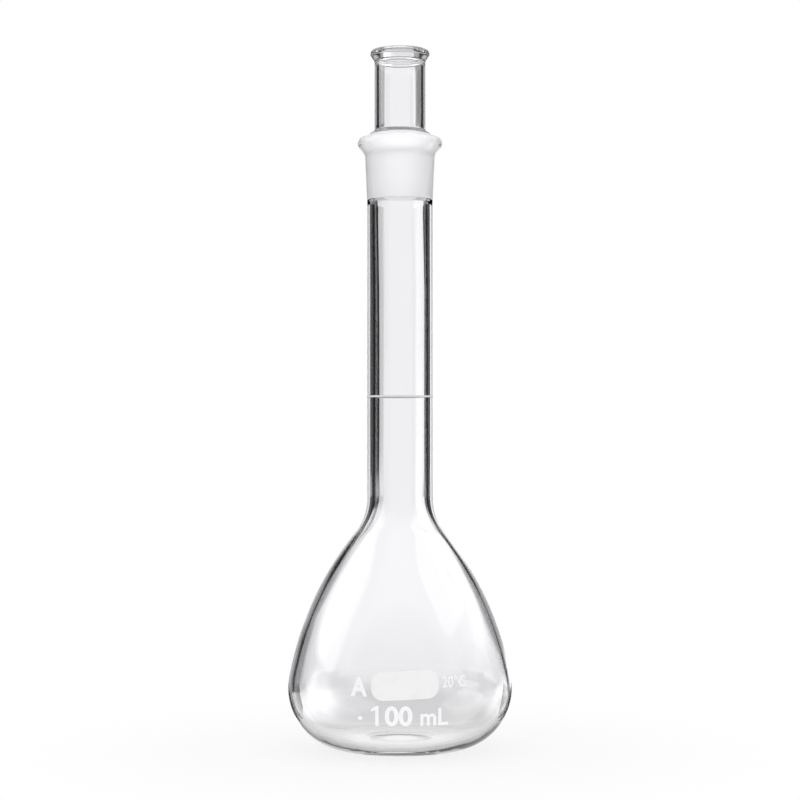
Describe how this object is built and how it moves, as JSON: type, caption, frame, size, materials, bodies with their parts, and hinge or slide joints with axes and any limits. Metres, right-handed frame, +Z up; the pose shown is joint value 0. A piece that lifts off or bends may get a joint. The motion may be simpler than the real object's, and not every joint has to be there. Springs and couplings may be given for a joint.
{
  "type": "volumetric flask",
  "caption": "Clear glass volumetric flask: pear-shaped bulb, long straight neck with one fill line, ground socket with a flared lip, and a hollow ground-glass stopper that lifts out.",
  "frame": {"origin": "on the flask's axis, at the table that the base ring stands on", "axes": "+Z up the axis through the bulb, neck and stopper; -Y towards the side with the marking spot"},
  "size_m": [0.0598, 0.0599, 0.1871],
  "materials": {
    "clear_glass": "fire-polished borosilicate, ground on the joint's two cones",
    "white_enamel": "fired-on matt white enamel"
  },
  "bodies": {
    "flask": {"flask_body": "clear_glass", "graduation_line": "white_enamel", "marking_spot": "white_enamel"},
    "stopper": {"stopper": "clear_glass"}
  },
  "joints": [
    {"name": "stopper_lift", "type": "slide", "parent": "flask", "child": "stopper", "axis": [0, 0, 1], "range_m": [0, 0.024]}
  ]
}
